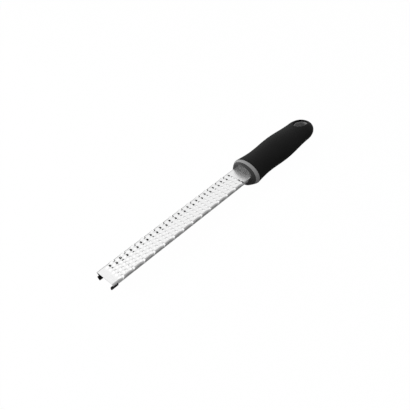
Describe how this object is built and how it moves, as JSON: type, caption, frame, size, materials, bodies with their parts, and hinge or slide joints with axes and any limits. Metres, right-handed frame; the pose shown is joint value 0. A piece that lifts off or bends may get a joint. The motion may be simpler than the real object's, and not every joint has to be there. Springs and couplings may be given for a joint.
{
  "type": "rasp zester",
  "caption": "Rasp zester: a steel channel blade with raised etched teeth and black tip caps, in a grey plastic core with a black soft grip and a hang hole.",
  "frame": {"origin": "under the middle of the tool's length, level with the lowest point of the handle", "axes": "+X along the tool from the blade's tip to the end of the handle, +Y across it, +Z out of the toothed face"},
  "size_m": [0.3136, 0.0382, 0.0298],
  "materials": {
    "blade_steel": "satin",
    "core_plastic": "matte",
    "grip_rubber": "soft matte",
    "foot_rubber": "matte"
  },
  "bodies": {
    "root": {"blade": "blade_steel", "left_foot": "foot_rubber", "right_foot": "foot_rubber", "nose_plug": "core_plastic", "handle_core": "core_plastic", "grip_sleeve": "grip_rubber"}
  },
  "joints": []
}
